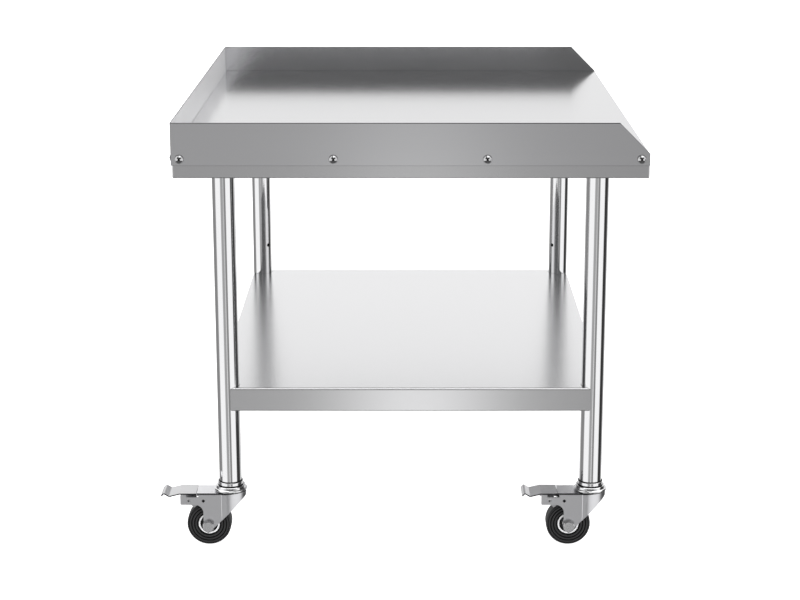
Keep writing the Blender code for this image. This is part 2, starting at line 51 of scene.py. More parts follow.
SHEET = 1.2 * MM
BEND = 1.5 * MM  # outer radius of a fold along a sheet's top
SHELF_BEND = 3.5 * MM
LOW_BEND = 1.6 * MM  # outer radius of the fold along a skirt's bottom
LIP = 12 * MM
CORNER = 2 * MM
EDGE = 0.35 * MM  # rounding of a cut edge
GUARD_CORNER = 0.8 * MM
TOP_SHADE_STRIP = 0.8 * MM  # the strip of painted shade along a guard's top edge

SCREW_RADIUS = 2.9 * MM
SCREW_HOLE = 3.3 * MM
SCREW_LENGTH = 10 * MM
HEAD_RADIUS = 7.5 * MM
HEAD_HEIGHT = 3.4 * MM
FLANGE = 0.8 * MM  # how far the head's rim stands out round its dome
RECESS_DEPTH = 2.2 * MM
RECESS_REACH = 4.2 * MM
RECESS_WIDTH = 1.9 * MM
NUT_RADIUS = 5 * MM
NUT_HEIGHT = 4 * MM
SCREWS_PER_GUARD = 4

LEG_WALL = 1.2 * MM
LEG_HOLE = 3.5 * MM
SHELF_STEP = 80 * MM  # between the heights that the shelf can be fixed at

TRAIL = 37 * MM
RIM_RADIUS = 18 * MM
BOLT_RADIUS = 6 * MM
NUT_CORNER = 10.4 * MM
FORK_SHEET = 2.5 * MM
FORK_BEND = 3 * MM
FORK_HALF_WIDTH = 21.75 * MM
FRONT_CENTRE_X = -8 * MM  # middle of the half ellipse that the fork's front follows
FRONT_LENGTH = 34.5 * MM
FRONT_HALF_WIDTH = 22.3 * MM
FRONT_FULLNESS = 1.65  # 2 is an ellipse, and less is more pointed
CREASE_X = -13.8 * MM
CREASE_LENGTH = 0.8 * MM
VENT_X = -45 * MM  # the small diamond hole in each side of a fork
VENT_Z = 82 * MM
VENT_REACH = 3.3 * MM
LOBE_RADIUS = 9.6 * MM
FORK_NECK_X = -45.5 * MM
FORK_FILLET = 14 * MM
FORK_CUT = 60.9 * MM
EAR_END_X = -84 * MM
EAR_TOP = 93 * MM
EAR_BOTTOM = 75 * MM
EAR_STEP_X = -74 * MM
EAR_STEP_Z = 88.5 * MM
EAR_STEP_END_X = -53.3 * MM
TOP_PLATE_EDGE_X = -56.3 * MM  # the plate's end leans, as the path of the pedal's rear edge does
TOP_PLATE_END_X = -54.6 * MM
CUP_TOP_RADIUS = 24.8 * MM
CUP_SHADE_RING_BORE = 20 * MM
CUP_SHADE_RING_RADIUS = 26.1 * MM
COLLAR_SHADE_RING = 1.1 * MM  # height of the dark ring of painted shade above and below a collar
STEM_RADIUS = 6 * MM
STEM_HEAD = 11 * MM
INSERT_RADIUS = 17.3 * MM

PIN_X = -70 * MM
PIN_Z = 82.6 * MM
PIN_RADIUS = 3 * MM
PEDAL_SHEET = 2 * MM
PEDAL_TOP = 95.3 * MM
PEDAL_BACK_X = -57 * MM
PEDAL_BEND_X = -85 * MM
PEDAL_VALLEY = Vector((-102.8 * MM, 90.8 * MM))
PEDAL_CREST = Vector((-112 * MM, 96.5 * MM))
PEDAL_TIP = Vector((-117 * MM, 91.2 * MM))
CAM_RADIUS = 8 * MM
CAM_REACH = 17.6 * MM
CAM_NOSE = 3 * MM  # half the width of its flat nose
CAM_HALF_WIDTH = 12 * MM

SMOOTH = 96  # flats round a leg or a wheel
MEDIUM = 48
FEW = 24
CAD_FLATS = 16  # round the CAD model's legs, stems and cups
SHARP_ANGLE = 32  # edges between flatter faces than this are shaded smooth
BEVEL_ANGLE = 40

CORNERS = {
    "front_left": (1, -1),
    "front_right": (1, 1),
    "back_left": (-1, -1),
    "back_right": (-1, 1),
}


def middle(node):
    low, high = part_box(node)
    return (low + high) / 2


def radius_of(node):
    """The radius of an upright round node of the CAD model, across its corners."""
    low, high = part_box(node)
    return (high.x - low.x) / 2 / math.cos(math.pi / CAD_FLATS)


def leg_axis(corner):
    centre = middle(f"{corner}_caster_stem")
    return Vector((centre.x, centre.y, 0))


def rest_turn(corner):
    """Degrees about the swivel: 0 for a caster that trails towards -X, 180 for one towards +X."""
    return 180 if middle(f"{corner}_tyre").x > leg_axis(corner).x else 0


TABLE_X = (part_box("back_guard")[0].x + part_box("worktop")[1].x) / 2
WORK_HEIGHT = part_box("worktop")[1].z
SHELF_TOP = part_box("undershelf")[1].z
SKIRT_DEPTH = WORK_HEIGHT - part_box("worktop")[0].z
WHEEL_RADIUS = middle("front_left_tyre").z
WHEEL_HALF_WIDTH = (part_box("front_left_tyre")[1].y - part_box("front_left_tyre")[0].y) / 2
FORK_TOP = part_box("front_left_fork")[1].z
LEG_RADIUS = radius_of("front_left_leg")


# Materials


class Nodes:
    """A node tree that grows by calls, each of which returns the node it adds."""

    def __init__(self, tree):
        self.tree = tree

    def add(self, kind, inputs=None, **settings):
        node = self.tree.nodes.new(f"ShaderNode{kind}")
        for name, value in settings.items():
            setattr(node, name, value)
        for name, value in (inputs or {}).items():
            self.feed(node.inputs[name], value)
        return node

    def feed(self, socket, value):
        if isinstance(value, bpy.types.NodeSocket):
            self.tree.links.new(value, socket)
        else:
            socket.default_value = value

    def math(self, operation, *values, clamp=False):
        node = self.add("Math", operation=operation, use_clamp=clamp)
        for socket, value in zip(node.inputs, values):
            self.feed(socket, value)
        return node.outputs[0]

    def range(self, value, low, high, to_low, to_high, smooth=False):
        kind = "SMOOTHSTEP" if smooth else "LINEAR"
        names = ("Value", "From Min", "From Max", "To Min", "To Max")
        inputs = dict(zip(names, (value, low, high, to_low, to_high)))
        return self.add("MapRange", inputs, interpolation_type=kind).outputs[0]

    def noise(self, vector, scale, detail=2, rough=0.5):
        inputs = {"Vector": vector, "Scale": scale, "Detail": detail, "Roughness": rough}
        return self.add("TexNoise", inputs).outputs["Fac"]

    def stretched(self, scales):
        """Object coordinates times scales, so that a noise of scale 1 has cells of 1 / scales."""
        place = self.add("TexCoord").outputs["Object"]
        return self.add("Mapping", {"Vector": place, "Scale": scales}).outputs[0]


def shader_material(name):
    made = bpy.data.materials.new(name)
    made.use_nodes = True
    return made, Nodes(made.node_tree), made.node_tree.nodes["Principled BSDF"]


def tinted(nodes, colour, factor, spread):
    """The colour, lighter and darker by spread as factor goes from 0 to 1."""
    dark = [c * (1 - spread) for c in colour] + [1]
    light = [min(1, c * (1 + spread)) for c in colour] + [1]
    mix = nodes.add("Mix", data_type="RGBA")
    nodes.feed(mix.inputs["Factor"], factor)
    nodes.feed(mix.inputs[6], dark)
    nodes.feed(mix.inputs[7], light)
    return mix.outputs[2]


NOISE_LOW, NOISE_HIGH = 0.3, 0.7  # most of a noise lies between these


def steel(name, colour, roughness, grain, streak, depth=0.006, metal=1.0):
    """Brushed or drawn metal. grain and streak are noise scales: cells a metre along X, Y and Z."""
    spread, rough_spread = 0.01, 0.05
    made, nodes, shader = shader_material(name)
    fine = nodes.noise(nodes.stretched(grain), 1, 3)
    broad = nodes.noise(nodes.stretched(streak), 1, 2)
    both = nodes.math("MULTIPLY_ADD", fine, 0.5, nodes.math("MULTIPLY", broad, 0.5))
    low, high = roughness * (1 - rough_spread), roughness * (1 + rough_spread)
    nodes.feed(shader.inputs["Base Color"], tinted(nodes, colour, broad, spread))
    uneven = nodes.range(both, NOISE_LOW, NOISE_HIGH, low, high)
    nodes.feed(shader.inputs["Roughness"], uneven)
    shader.inputs["Metallic"].default_value = metal
    bump = nodes.add("Bump", {"Height": fine, "Strength": depth, "Distance": 0.05 * MM})
    nodes.feed(shader.inputs["Normal"], bump.outputs[0])
    return made


def moulded(name, colour, roughness, speckle, depth, spread):
    """Rubber or plastic with a fine moulded surface."""
    made, nodes, shader = shader_material(name)
    fine = nodes.noise(nodes.stretched((speckle,) * 3), 1, 4, 0.6)
    cloud = nodes.noise(nodes.stretched((60,) * 3), 1, 3)
    nodes.feed(shader.inputs["Base Color"], tinted(nodes, colour, cloud, spread))
    rough_spread = 0.15
    low, high = roughness * (1 - rough_spread), roughness * (1 + rough_spread)
    uneven = nodes.range(cloud, NOISE_LOW, NOISE_HIGH, low, high)
    nodes.feed(shader.inputs["Roughness"], uneven)
    bump = nodes.add("Bump", {"Height": fine, "Strength": depth, "Distance": 0.1 * MM})
    nodes.feed(shader.inputs["Normal"], bump.outputs[0])
    shader.inputs["Specular IOR Level"].default_value = 0.3
    return made


def make_finishes():
    along_y, along_z = (2500, 25, 2500), (1500, 1500, 12)
    sheet_streak, guard_streak = (90, 3, 90), (3, 3, 120)
    zinc_grain, zinc_streak = (700,) * 3, (160,) * 3
    steels = {
        "worktop_steel": ((0.745, 0.745, 0.755), 0.15, along_y, sheet_streak),
        "guard_steel": ((0.78, 0.78, 0.795), 0.15, (25, 25, 2500), guard_streak),
        # Painted light: the back guard's inside, near white and barely metal, so it shows lighter
        # than the same steel outside.
        "back_guard_painted_light": ((0.95, 0.95, 0.96), 0.40, along_y, guard_streak, 0.006, 0.08),
        "shelf_steel": ((0.86, 0.86, 0.87), 0.21, along_y, sheet_streak, 0.003),
        "shelf_side_steel": ((0.83, 0.83, 0.84), 0.12, along_y, sheet_streak),
        # The next two are near black: painted shade in recesses, holes and dimples, along folds and
        # along the edges of sheets.
        "screw_painted_shade": ((0.015, 0.015, 0.015), 0.5, along_y, (90,) * 3),
        "painted_shade_steel": ((0.07, 0.07, 0.075), 0.5, along_y, (90,) * 3),
        "channel_steel": ((0.55, 0.56, 0.57), 0.42, (900, 20, 900), (40, 2, 40)),
        "leg_steel": ((0.88, 0.88, 0.89), 0.07, along_z, (300, 300, 2), 0.002),
        "socket_steel": ((0.55, 0.56, 0.57), 0.38, along_z, (90, 90, 9)),
        "screw_steel": ((0.66, 0.66, 0.67), 0.05, (900,) * 3, (200,) * 3, 0.002),
        "caster_chrome": ((0.88, 0.88, 0.89), 0.06, (600,) * 3, (90,) * 3, 0.002),
        "fork_zinc": ((0.85, 0.85, 0.87), 0.30, zinc_grain, zinc_streak, 0.003),
        "pedal_zinc": ((0.70, 0.70, 0.71), 0.30, zinc_grain, zinc_streak, 0.003),
        "axle_zinc": ((0.80, 0.80, 0.81), 0.26, zinc_grain, (200,) * 3, 0.003),
    }
    mouldings = {
        "tyre_rubber": ((0.036, 0.036, 0.037), 0.54, 1800, 0.2, 0.15),
        # Painted shade: the tyre's grooves, darker than its ribs.
        "groove_painted_shade": ((0.004, 0.004, 0.004), 0.6, 1800, 0.2, 0.1),
        "hub_plastic": ((0.92, 0.92, 0.93), 0.30, 1500, 0.05, 0.03),
        "hub_web": ((0.03, 0.03, 0.031), 0.5, 1500, 0.10, 0.05),
        # Painted shade: the dark rings where the collar, the cup and the fork meet.
        "painted_shade_ring": ((0.012, 0.012, 0.012), 0.5, 1800, 0.2, 0.1),
    }
    made = {name: steel(name, *values) for name, values in steels.items()}
    made.update({name: moulded(name, *values) for name, values in mouldings.items()})
    return made


FINISHES = make_finishes()


# Shapes


def loft(loops, closed=False):
    """A mesh through loops of equal length, capped at both ends unless it is closed on itself."""
    shape = bmesh.new()
    rings = [[shape.verts.new(point) for point in loop] for loop in loops]
    pairs = list(zip(rings, rings[1:]))
    if closed:
        pairs.append((rings[-1], rings[0]))
    for low, high in pairs:
        for i in range(len(low)):
            j = (i + 1) % len(low)
            shape.faces.new((low[i], low[j], high[j], high[i]))
    if not closed:
        shape.faces.new(reversed(rings[0]))
        shape.faces.new(rings[-1])
    bmesh.ops.recalc_face_normals(shape, faces=shape.faces)
    mesh = bpy.data.meshes.new("loft")
    shape.to_mesh(mesh)
    shape.free()
    return mesh


def ring(radius, z, segments):
    """A loop about the Z axis, with a flat square to each of X and Y."""
    step = 2 * math.pi / segments
    turns = [(i + 0.5) * step for i in range(segments)]
    return [(radius * math.cos(a), radius * math.sin(a), z) for a in turns]


def turned(profile, segments=MEDIUM, closed=False):
    """A turned piece from (radius, z) pairs."""
    return loft([ring(radius, z, segments) for radius, z in profile], closed)


def arc(centre, radius, start, end, steps):
    """Points round centre from start to end, in degrees."""
    turns = [math.radians(start + (end - start) * i / steps) for i in range(steps + 1)]
    x, y = centre
    return [Vector((x + radius * math.cos(a), y + radius * math.sin(a))) for a in turns]


def rounded(points, radius, steps=4, closed=True):
    """The outline with its corners rounded, each as far as its two sides allow."""
    straight = math.radians(174)  # a corner that is flatter than this stays
    most = 0.45  # of a side, for one rounding
    made = []
    last = len(points) - 1
    for i, point in enumerate(points):
        if not closed and i in (0, last):
            made.append(Vector(point))
            continue
        point = Vector(point)
        before = Vector(points[i - 1]) - point
        after = Vector(points[(i + 1) % len(points)]) - point
        turn = before.angle(after)
        if turn > straight:
            made.append(point)
            continue
        reach = min(radius / math.tan(turn / 2), most * before.length, most * after.length)
        start = point + before.normalized() * reach
        end = point + after.normalized() * reach
        for step in range(steps + 1):
            t = step / steps
            made.append(start * (1 - t) ** 2 + point * 2 * t * (1 - t) + end * t**2)
    return made


def prism(outline, axis, low, high):
    """An outline pushed along an axis: (x, y) points for Z, (x, z) for Y and (y, z) for X."""
    place = {
        "X": lambda p, along: (along, p[0], p[1]),
        "Y": lambda p, along: (p[0], along, p[1]),
        "Z": lambda p, along: (p[0], p[1], along),
    }[axis]
    return loft([[place(p, along) for p in outline] for along in (low, high)])


def box(low, high):
    outline = [(low[0], low[1]), (high[0], low[1]), (high[0], high[1]), (low[0], high[1])]
    return prism(outline, "Z", low[2], high[2])


def pin_cutter(centre, axis, radius, low, high, segments=FEW):
    """A round cutter along an axis through centre, from low to high on that axis."""
    outline = [(centre[0] + x, centre[1] + y) for x, y, _ in ring(radius, 0, segments)]
    return prism(outline, axis, low, high)


def bent_strip(line, thickness):
    """The outline of a bent sheet whose one face follows line, with mitred bends."""
    steps = [(b - a).normalized() for a, b in zip(line, line[1:])]
    normals = [Vector((-step.y, step.x)) for step in steps]
    ends = zip([normals[0], *normals], [*normals, normals[-1]])
    back = []
    for point, (before, after) in zip(line, ends):
        mean = (before + after).normalized()
        back.append(point + mean * thickness / mean.dot(before))
    return [*line, *reversed(back)]


def joined(meshes):
    """Several closed meshes as one, to cut or to join with."""
    shape = bmesh.new()
    for mesh in meshes:
        shape.from_mesh(mesh)
    whole = bpy.data.meshes.new("joined")
    shape.to_mesh(whole)
    shape.free()
    return whole


def boolean(mesh, steps):
    """The mesh after each (operation, tool mesh) in steps."""
    scene = bpy.context.scene.collection
    blank = bpy.data.objects.new("blank", mesh)
    scene.objects.link(blank)
    tools = []
    for operation, tool_mesh in steps:
        tool = bpy.data.objects.new("tool", tool_mesh)
        scene.objects.link(tool)
        tools.append(tool)
        modifier = blank.modifiers.new(operation.lower(), "BOOLEAN")
        modifier.operation = operation
        modifier.solver = "EXACT"
        modifier.object = tool
    graph = bpy.context.evaluated_depsgraph_get()
    made = bpy.data.meshes.new_from_object(blank.evaluated_get(graph))
    for helper in [blank, *tools]:
        bpy.data.objects.remove(helper)
    return made


def dressed(mesh, finish, dark_finish, picks, edge):
    """The mesh with the second finish on the faces that picks chooses by normal and centre, and
    on the rims round them if edge, the width to round those rims by, isn't 0."""
    mesh.materials.clear()
    mesh.materials.append(FINISHES[finish])
    mesh.materials.append(FINISHES[dark_finish])
    shape = bmesh.new()
    shape.from_mesh(mesh)
    dark = {face for face in shape.faces if picks(face.normal, face.calc_center_median())}
    for face in shape.faces:
        face.material_index = int(face in dark)
    if edge:
        rims = [e for e in shape.edges if len({face in dark for face in e.link_faces}) == 2]
        bmesh.ops.bevel(
            shape, geom=rims, offset=edge, segments=3, profile=0.5, affect="EDGES", material=1
        )
    shape.to_mesh(mesh)
    shape.free()
    return mesh


def piece(name, mesh, slot, body, stands_for=None, place=(0, 0, 0), turn=(0, 0, 0), edge=0):
    """A shown piece that rides on body in place of a CAD node. turn is in degrees, and edge is the
    width to round its sharp edges by."""
    if not mesh.materials:
        mesh.materials.append(FINISHES[slot])
    mesh.shade_smooth()
    mesh.set_sharp_from_angle(angle=math.radians(SHARP_ANGLE))
    made = bpy.data.objects.new(name, mesh)
    bpy.context.scene.collection.objects.link(made)
    made.location = place
    made.rotation_euler = [math.radians(a) for a in turn]
    if edge:
        bevel = made.modifiers.new("edges", "BEVEL")
        bevel.width = edge
        bevel.segments = 3
        bevel.limit_method = "ANGLE"
        bevel.angle_limit = math.radians(BEVEL_ANGLE)
    weighted = made.modifiers.new("normals", "WEIGHTED_NORMAL")
    weighted.keep_sharp = True
    weighted.weight = 100
    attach(made, body)
    if stands_for:
        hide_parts(stands_for)
    return made


def centre_and_half(low, high):
    return (low + high) / 2, (high - low) / 2


# Sheets


def rounded_rectangle(half_x, half_y, radius, steps=6):
    points = []
    for quarter, (side_x, side_y) in enumerate(((1, 1), (-1, 1), (-1, -1), (1, -1))):
        centre = (side_x * (half_x - radius), side_y * (half_y - radius))
        points += arc(centre, radius, 90 * quarter, 90 * (quarter + 1), steps)
    return points


def pan(half_x, half_y, depth, bend):
    """A folded sheet with its top at z = 0, and skirts on four sides, each with a lip turned in."""
    levels = []
    for point in arc((bend, -bend), bend, 90, 180, 8):
        levels.append((point.x, point.y))
    for point in arc((LOW_BEND, LOW_BEND - depth), LOW_BEND, 180, 270, 5):
        levels.append((point.x, point.y))
    edge = SHEET / 2
    for point in arc((LIP - edge, edge - depth), edge, -90, 90, 4):
        levels.append((point.x, point.y))
    levels += [
        (LOW_BEND, SHEET - depth),
        (SHEET, LOW_BEND - depth),
        (SHEET, -bend),
        (bend, -SHEET),
    ]
    loops = []
    for inset, z in levels:
        radius = max(CORNER - inset, 0.2 * MM)
        outline = rounded_rectangle(half_x - inset, half_y - inset, radius)
        loops.append([(point.x, point.y, z) for point in outline])
    return loft(loops)


def guard_screw_axes():
    """(screw node, middle of its box) for each guard screw."""
    guards = ("back", "left", "right")
    names = [f"{guard}_guard_screw_{i + 1}" for guard in guards for i in range(SCREWS_PER_GUARD)]
    return [(name, middle(name)) for name in names]


def guard_holes(guards):
    """Cutters for the screw holes of the guards named, each through guard and skirt."""
    cutters = []
    for name, centre in guard_screw_axes():
        if name.split("_")[0] not in guards:
            continue
        reach = SCREW_LENGTH
        if name.startswith("back"):
            cut = ((centre.y, centre.z), "X", SCREW_HOLE, centre.x - reach, centre.x + reach)
        else:
            cut = ((centre.x, centre.z), "Y", SCREW_HOLE, centre.y - reach, centre.y + reach)
        cutters.append(pin_cutter(*cut))
    return joined(cutters)


def make_worktop():
    low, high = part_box("worktop")
    centre, half = centre_and_half(low, high)
    mesh = pan(half.x, half.y, SKIRT_DEPTH, BEND)
    # Painted shade: a dark band along the fold at the top of the front and back skirts.
    mesh = dressed(
        mesh,
        "worktop_steel",
        "painted_shade_steel",
        lambda n, c: c.z > -BEND and 0.1 < n.z < 0.97 and abs(n.y) > 0.1,
        0,
    )
    mesh.transform(Matrix.Translation((centre.x, centre.y, high.z)))
    mesh = boolean(mesh, [("DIFFERENCE", guard_holes(("back", "left", "right")))])
    piece("worktop_sheet", mesh, "worktop_steel", "table", "worktop")


def split(mesh, height):
    """The mesh with its faces cut through at that height."""
    shape = bmesh.new()
    shape.from_mesh(mesh)
    everything = [*shape.verts, *shape.edges, *shape.faces]
    bmesh.ops.bisect_plane(shape, geom=everything, plane_co=(0, 0, height), plane_no=(0, 0, 1))
    shape.to_mesh(mesh)
    shape.free()
    return mesh


def make_guards():
    """Three upright sheets, screwed to the outside of the worktop's skirts. Their edges and a strip
    along the end guards' tops carry painted shade, and the back guard's inside carries painted
    light, lighter than its outside."""
    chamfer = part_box("left_guard")[1].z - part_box("worktop")[1].z
    for name in ("left", "right"):
        low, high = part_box(f"{name}_guard")
        outline = [
            (low.x, low.z),
            (high.x, low.z),
            (high.x, high.z - chamfer),
            (high.x - chamfer, high.z),
            (low.x, high.z),
        ]
        mesh = prism(rounded(outline, GUARD_CORNER, 3), "Y", low.y, high.y)
        rim = high.z - TOP_SHADE_STRIP
        # Painted shade on every edge of the sheet, which along its bottom stands for the shadow
        # under the guard, and on the strip along its top.
        mesh = dressed(
            split(mesh, rim),
            "guard_steel",
            "painted_shade_steel",
            lambda n, c: abs(n.y) < 0.5 or c.z > rim,
            EDGE,
        )
        mesh = boolean(mesh, [("DIFFERENCE", guard_holes((name,)))])
        piece(f"{name}_guard_sheet", mesh, "guard_steel", "table", f"{name}_guard", edge=EDGE)
    low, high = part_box("back_guard")
    outline = [(low.y, low.z), (high.y, low.z), (high.y, high.z), (low.y, high.z)]
    mesh = prism(rounded(outline, GUARD_CORNER, 3), "X", low.x, high.x)
    # Painted shade on the sheet's edges, all but its bottom.
    mesh = dressed(
        mesh,
        "back_guard_painted_light",
        "painted_shade_steel",
        lambda n, c: abs(n.x) < 0.5 and n.z > -0.5,
        EDGE,
    )
    # The outside gets the plain guard steel, so that only the inside carries the painted light.
    mesh.materials.append(FINISHES["guard_steel"])
    for face in mesh.polygons:
        if face.normal.x < -0.9:
            face.material_index = 2  # the outside
    mesh = boolean(mesh, [("DIFFERENCE", guard_holes(("back",)))])
    piece("back_guard_sheet", mesh, "guard_steel", "table", "back_guard", edge=EDGE)


def cross_recess(top, depth, reach, width):
    """Cutters for a cross recess: two tapered wedges, each narrower towards its foot."""
    foot = (top - depth, 0.3 * reach, 0.25 * width)
    mouth = (top + depth, 1.4 * reach, 0.6 * width)
    wedges = []
    for turn in (45, 135):
        turned_by = Matrix.Rotation(math.radians(turn), 3, "Z")
        loops = []
        for z, length, half in (foot, mouth):
            corners = ((-length, -half), (length, -half), (length, half), (-length, half))
            loops.append([turned_by @ Vector((x, y, z)) for x, y in corners])
        wedges.append(loft(loops))
    return wedges


def screw_mesh():
    """A flanged screw with a domed head, a cross recess and its nut, along Z with the head up."""
    nut_face = -(2 * SHEET + 3 * GAP)
    dome_radius = HEAD_RADIUS - FLANGE
    sphere = (dome_radius**2 + HEAD_HEIGHT**2) / (2 * HEAD_HEIGHT)
    steepest = math.degrees(math.asin(dome_radius / sphere))
    rim = 0.6 * MM
    soft = 0.2 * MM
    crown = HEAD_HEIGHT - sphere
    dome = arc((0, crown), sphere - 0.02 * MM, 90 - 0.96 * steepest, 88, 9)
    profile = [
        (SCREW_RADIUS * 0.8, -SCREW_LENGTH),
        (SCREW_RADIUS, 0.8 * MM - SCREW_LENGTH),
        (SCREW_RADIUS, 0),
        (HEAD_RADIUS - soft, 0),
        (HEAD_RADIUS, rim / 3),
        (HEAD_RADIUS - soft, rim),
        (dome_radius + 0.3 * MM, rim),
        *[(point.x, max(point.y, rim)) for point in dome],
    ]
    nut = turned([(NUT_RADIUS, nut_face - NUT_HEIGHT), (NUT_RADIUS, nut_face)], 6)
    wedges = cross_recess(HEAD_HEIGHT, RECESS_DEPTH, RECESS_REACH, RECESS_WIDTH)
    steps = [("UNION", nut)] + [("DIFFERENCE", wedge) for wedge in wedges]
    mesh = boolean(turned(profile, FEW), steps)
    below_dome = sphere - 0.15 * MM
    flange_side = HEAD_RADIUS - 0.25 * MM

    # Painted shade: the cross recess and the side of the head's rim are dark.
    def is_dark(normal, centre):
        in_recess = (centre - Vector((0, 0, crown))).length < below_dome
        on_flange = centre.xy.length > flange_side
        return (centre.z > rim + 0.1 * MM and in_recess) or (0 < centre.z < rim and on_flange)

    return dressed(mesh, "screw_steel", "screw_painted_shade", is_dark, 0)


def make_guard_screws():
    mesh = screw_mesh()
    tilts = {"back": (0, -90, 0), "left": (90, 0, 0), "right": (-90, 0, 0)}
    for name, centre in guard_screw_axes():
        guard = name.split("_")[0]
        low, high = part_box(name)
        place = {
            "back": (high.x - SCREW_LENGTH, centre.y, centre.z),
            "left": (centre.x, high.y - SCREW_LENGTH, centre.z),
            "right": (centre.x, low.y + SCREW_LENGTH, centre.z),
        }[guard]
        piece(f"{name}_fine", mesh.copy(), "screw_steel", "table", name, place, tilts[guard])


def notch_prisms(outline, low, high):
    """One prism round each leg, from an outline about the axis of the leg at +X +Y."""
    prisms = []
    for corner, (side_x, side_y) in CORNERS.items():
        axis = leg_axis(corner)
        places = [(axis.x + side_x * point[0], axis.y + side_y * point[1]) for point in outline]
        prisms.append(prism(places, "Z", low, high))
    return joined(prisms)


def make_undershelf():
    """A pan whose corners are cut away round the legs, with a curved wall in each notch."""
    low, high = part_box("undershelf")
    centre, half = centre_and_half(low, high)
    notch = LEG_RADIUS + 2 * GAP
    wall_radius = notch + SHEET
    wall_side = LEG_RADIUS - SHEET / 2
    wall_start = -math.degrees(math.acos(wall_side / wall_radius))
    wall = arc((0, 0), wall_radius, wall_start, -270 - wall_start, 44)
    cut_start = -math.degrees(math.acos(LEG_RADIUS / notch))
    cut = arc((0, 0), notch, cut_start, -270 - cut_start, 48)
    clear = 2 * LEG_RADIUS
    cut += [Vector((cut[-1].x, clear)), Vector((clear, clear)), Vector((clear, cut[0].y))]
    mesh = pan(half.x, half.y, SKIRT_DEPTH, SHELF_BEND)
    mesh.transform(Matrix.Translation((centre.x, centre.y, high.z)))
    steps = [
        ("UNION", notch_prisms(wall, low.z + SHEET / 2, high.z - SHEET / 2)),
        ("DIFFERENCE", notch_prisms(cut, low.z - LIP, high.z + LIP)),
    ]
    mesh = dressed(
        boolean(mesh, steps),
        "shelf_steel",
        "shelf_side_steel",
        lambda n, c: abs(n.z) < 0.3,
        0,
    )
    piece("undershelf_sheet", mesh, "shelf_steel", "table", "undershelf")


# Legs


def make_legs():
    """Four polished tubes, each with three holes towards the middle of the table."""
    shelf_hole = SHELF_TOP - SKIRT_DEPTH / 2
    for corner, (side_x, side_y) in CORNERS.items():
        low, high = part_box(f"{corner}_leg")
        bore = LEG_RADIUS - LEG_WALL
        lip = LEG_WALL / 3
        tube = [
            (LEG_RADIUS - lip, low.z),
            (LEG_RADIUS, low.z + lip),
            (LEG_RADIUS, high.z - lip),
            (LEG_RADIUS - lip, high.z),
            (bore, high.z),
            (bore, low.z),
        ]
        inward = Vector((-side_x, -side_y, 0)).normalized()
        across = Vector((inward.y, -inward.x, 0))
        cutters = []
        for step in (-1, 0, 1):
            height = shelf_hole + step * SHELF_STEP
            rim = [across * x + Vector((0, 0, height + y)) for x, y, _ in ring(LEG_HOLE, 0, FEW)]
            ends = (inward * bore / 2, inward * 2 * LEG_RADIUS)
            cutters.append(loft([[end + point for point in rim] for end in ends]))
        mesh = boolean(turned(tube, SMOOTH, closed=True), [("DIFFERENCE", joined(cutters))])
        piece(f"{corner}_leg_tube", mesh, "leg_steel", "table", f"{corner}_leg", leg_axis(corner))


# Casters


def stem_mesh(low, high):
    """The stem about its own axis: a riveted head, a shaft, a collar with rounded rims, and the
    insert that goes up into the leg."""
    collar = radius_of("front_left_caster_stem")
    leg_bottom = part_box("front_left_leg")[0].z
    collar_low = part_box("front_left_bearing_cup")[1].z + GAP
    collar_high = leg_bottom - GAP
    soft = 0.9 * MM
    profile = [
        (STEM_HEAD - 2 * MM, low),
        (STEM_HEAD, low + 1 * MM),
        (STEM_HEAD, FORK_TOP - FORK_SHEET - GAP),
        (STEM_RADIUS, FORK_TOP - FORK_SHEET - GAP),
        (STEM_RADIUS, collar_low + COLLAR_SHADE_RING),
    ]
    for point in arc((collar - soft, collar_low + COLLAR_SHADE_RING + soft), soft, -90, 0, 5):
        profile.append((point.x, point.y))
    for point in arc((collar - soft, collar_high - COLLAR_SHADE_RING - soft), soft, 0, 90, 5):
        profile.append((point.x, point.y))
    profile += [
        (INSERT_RADIUS, collar_high - COLLAR_SHADE_RING),
        (INSERT_RADIUS, high - 1 * MM),
        (INSERT_RADIUS - 1 * MM, high),
    ]
    return turned(profile, SMOOTH)


def shade_ring_mesh(low, high, inner, outer):
    """A dark ring with rounded rims, painted shade for the shade line where two parts meet."""
    soft = (high - low) / 2
    profile = [(inner, high), (inner, low)]
    profile += [(point.x, point.y) for point in arc((outer - soft, low + soft), soft, -90, 90, 6)]
    return turned(profile, SMOOTH, closed=True)


def cup_mesh():
    """The swivel bearing's cup: a rolled rim below a cone."""
    low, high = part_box("front_left_bearing_cup")
    radius = radius_of("front_left_bearing_cup")
    bore = STEM_RADIUS + GAP
    rim = 2.3 * MM
    lift = 0.7 * MM
    profile = [
        (bore, low.z),
        (radius - rim - 2 * MM, low.z),
        (radius - rim - 1 * MM, low.z + lift),
    ]
    rim_middle = (radius - rim, low.z + lift + rim)
    profile += [(point.x, point.y) for point in arc(rim_middle, rim, -90, 66, 10)]
    profile += [
        (CUP_TOP_RADIUS + 0.7 * MM, low.z + 2 * rim + 1 * MM),
        (CUP_TOP_RADIUS, high.z - 0.8 * MM),
        (CUP_TOP_RADIUS - 0.8 * MM, high.z),
        (bore, high.z),
    ]
    return turned(profile, SMOOTH, closed=True)


